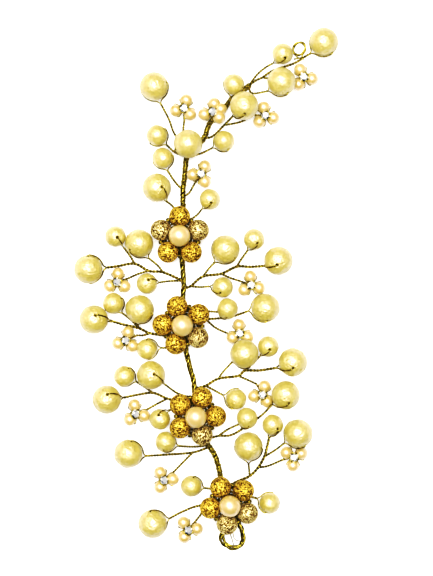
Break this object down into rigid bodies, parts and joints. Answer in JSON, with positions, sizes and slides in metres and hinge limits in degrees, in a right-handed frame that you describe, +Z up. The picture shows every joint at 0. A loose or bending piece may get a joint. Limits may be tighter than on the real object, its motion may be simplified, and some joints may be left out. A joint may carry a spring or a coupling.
{
  "type": "bridal hair vine",
  "caption": "Bendable gold wire hair vine with flowers of gold beads, wrinkled pearls and seed pearl clusters on twisted twigs, and loops for hairpins.",
  "frame": {"origin": "middle of the vine's footprint, on the surface that it lies on", "axes": "+Y along the stem from the pin loop to the forked tip, +Z up from the surface, away from the hair, +X to the right when the pin loop is nearest"},
  "size_m": [0.0924, 0.1834, 0.015],
  "materials": {
    "wrinkled_pearl": "pearl lustre over a crinkled surface",
    "ivory_pearl": "smooth glossy pearl",
    "stardust_gold": "granular sparkling gold plating",
    "gold_wire": "bright gold-plated soft wire"
  },
  "bodies": {
    "tip_spray": {"large_pearl_01": "wrinkled_pearl", "large_pearl_02": "wrinkled_pearl", "medium_pearl_01": "wrinkled_pearl", "tip_wire": "gold_wire", "tip_ring": "gold_wire"},
    "crown_spray": {"large_pearl_03": "wrinkled_pearl", "large_pearl_04": "wrinkled_pearl", "large_pearl_05": "wrinkled_pearl", "medium_pearl_02": "wrinkled_pearl", "medium_pearl_03": "wrinkled_pearl", "medium_pearl_04": "wrinkled_pearl", "crown_wire": "gold_wire"},
    "flower_1_spray": {"large_pearl_06": "wrinkled_pearl", "large_pearl_07": "wrinkled_pearl", "large_pearl_08": "wrinkled_pearl", "large_pearl_09": "wrinkled_pearl", "large_pearl_10": "wrinkled_pearl", "medium_pearl_05": "wrinkled_pearl", "medium_pearl_06": "wrinkled_pearl", "medium_pearl_07": "wrinkled_pearl", "medium_pearl_08": "wrinkled_pearl", "medium_pearl_09": "wrinkled_pearl", "medium_pearl_10": "wrinkled_pearl", "petal_ring_1": "stardust_gold", "centre_pearl_1": "ivory_pearl", "flower_1_wire": "gold_wire"},
    "flower_2_spray": {"large_pearl_11": "wrinkled_pearl", "large_pearl_12": "wrinkled_pearl", "large_pearl_13": "wrinkled_pearl", "medium_pearl_11": "wrinkled_pearl", "medium_pearl_12": "wrinkled_pearl", "medium_pearl_13": "wrinkled_pearl", "petal_ring_2": "stardust_gold", "centre_pearl_2": "ivory_pearl", "flower_2_wire": "gold_wire"},
    "flower_3_spray": {"large_pearl_14": "wrinkled_pearl", "large_pearl_15": "wrinkled_pearl", "large_pearl_16": "wrinkled_pearl", "large_pearl_17": "wrinkled_pearl", "large_pearl_18": "wrinkled_pearl", "large_pearl_21": "wrinkled_pearl", "medium_pearl_14": "wrinkled_pearl", "medium_pearl_15": "wrinkled_pearl", "medium_pearl_16": "wrinkled_pearl", "medium_pearl_17": "wrinkled_pearl", "medium_pearl_18": "wrinkled_pearl", "medium_pearl_20": "wrinkled_pearl", "petal_ring_3": "stardust_gold", "centre_pearl_3": "ivory_pearl", "flower_3_wire": "gold_wire"},
    "flower_4_spray": {"large_pearl_19": "wrinkled_pearl", "large_pearl_20": "wrinkled_pearl", "large_pearl_22": "wrinkled_pearl", "medium_pearl_19": "wrinkled_pearl", "medium_pearl_21": "wrinkled_pearl", "medium_pearl_22": "wrinkled_pearl", "petal_ring_4": "stardust_gold", "centre_pearl_4": "ivory_pearl", "flower_4_wire": "gold_wire", "pin_loop": "gold_wire"}
  },
  "joints": [
    {"name": "stem_bend_1", "type": "hinge", "parent": "crown_spray", "child": "tip_spray", "pos_m": [0.01201, 0.06951, 0.001], "axis": [0.6428, -0.766, 0], "range_deg": [-35, 5]},
    {"name": "stem_bend_2", "type": "hinge", "parent": "flower_1_spray", "child": "crown_spray", "pos_m": [-0.00714, 0.04495, 0.001], "axis": [1, 0, 0], "range_deg": [-35, 5]},
    {"name": "stem_bend_3", "type": "hinge", "parent": "flower_2_spray", "child": "flower_1_spray", "pos_m": [-0.00819, -0.0011, 0.001], "axis": [1, 0, 0], "range_deg": [-35, 3]},
    {"name": "stem_bend_4", "type": "hinge", "parent": "flower_2_spray", "child": "flower_3_spray", "pos_m": [-0.00564, -0.02759, 0.001], "axis": [-1, 0, 0], "range_deg": [-35, 3]},
    {"name": "stem_bend_5", "type": "hinge", "parent": "flower_3_spray", "child": "flower_4_spray", "pos_m": [0.00386, -0.0604, 0.001], "axis": [-1, 0, 0], "range_deg": [-35, 5]}
  ]
}
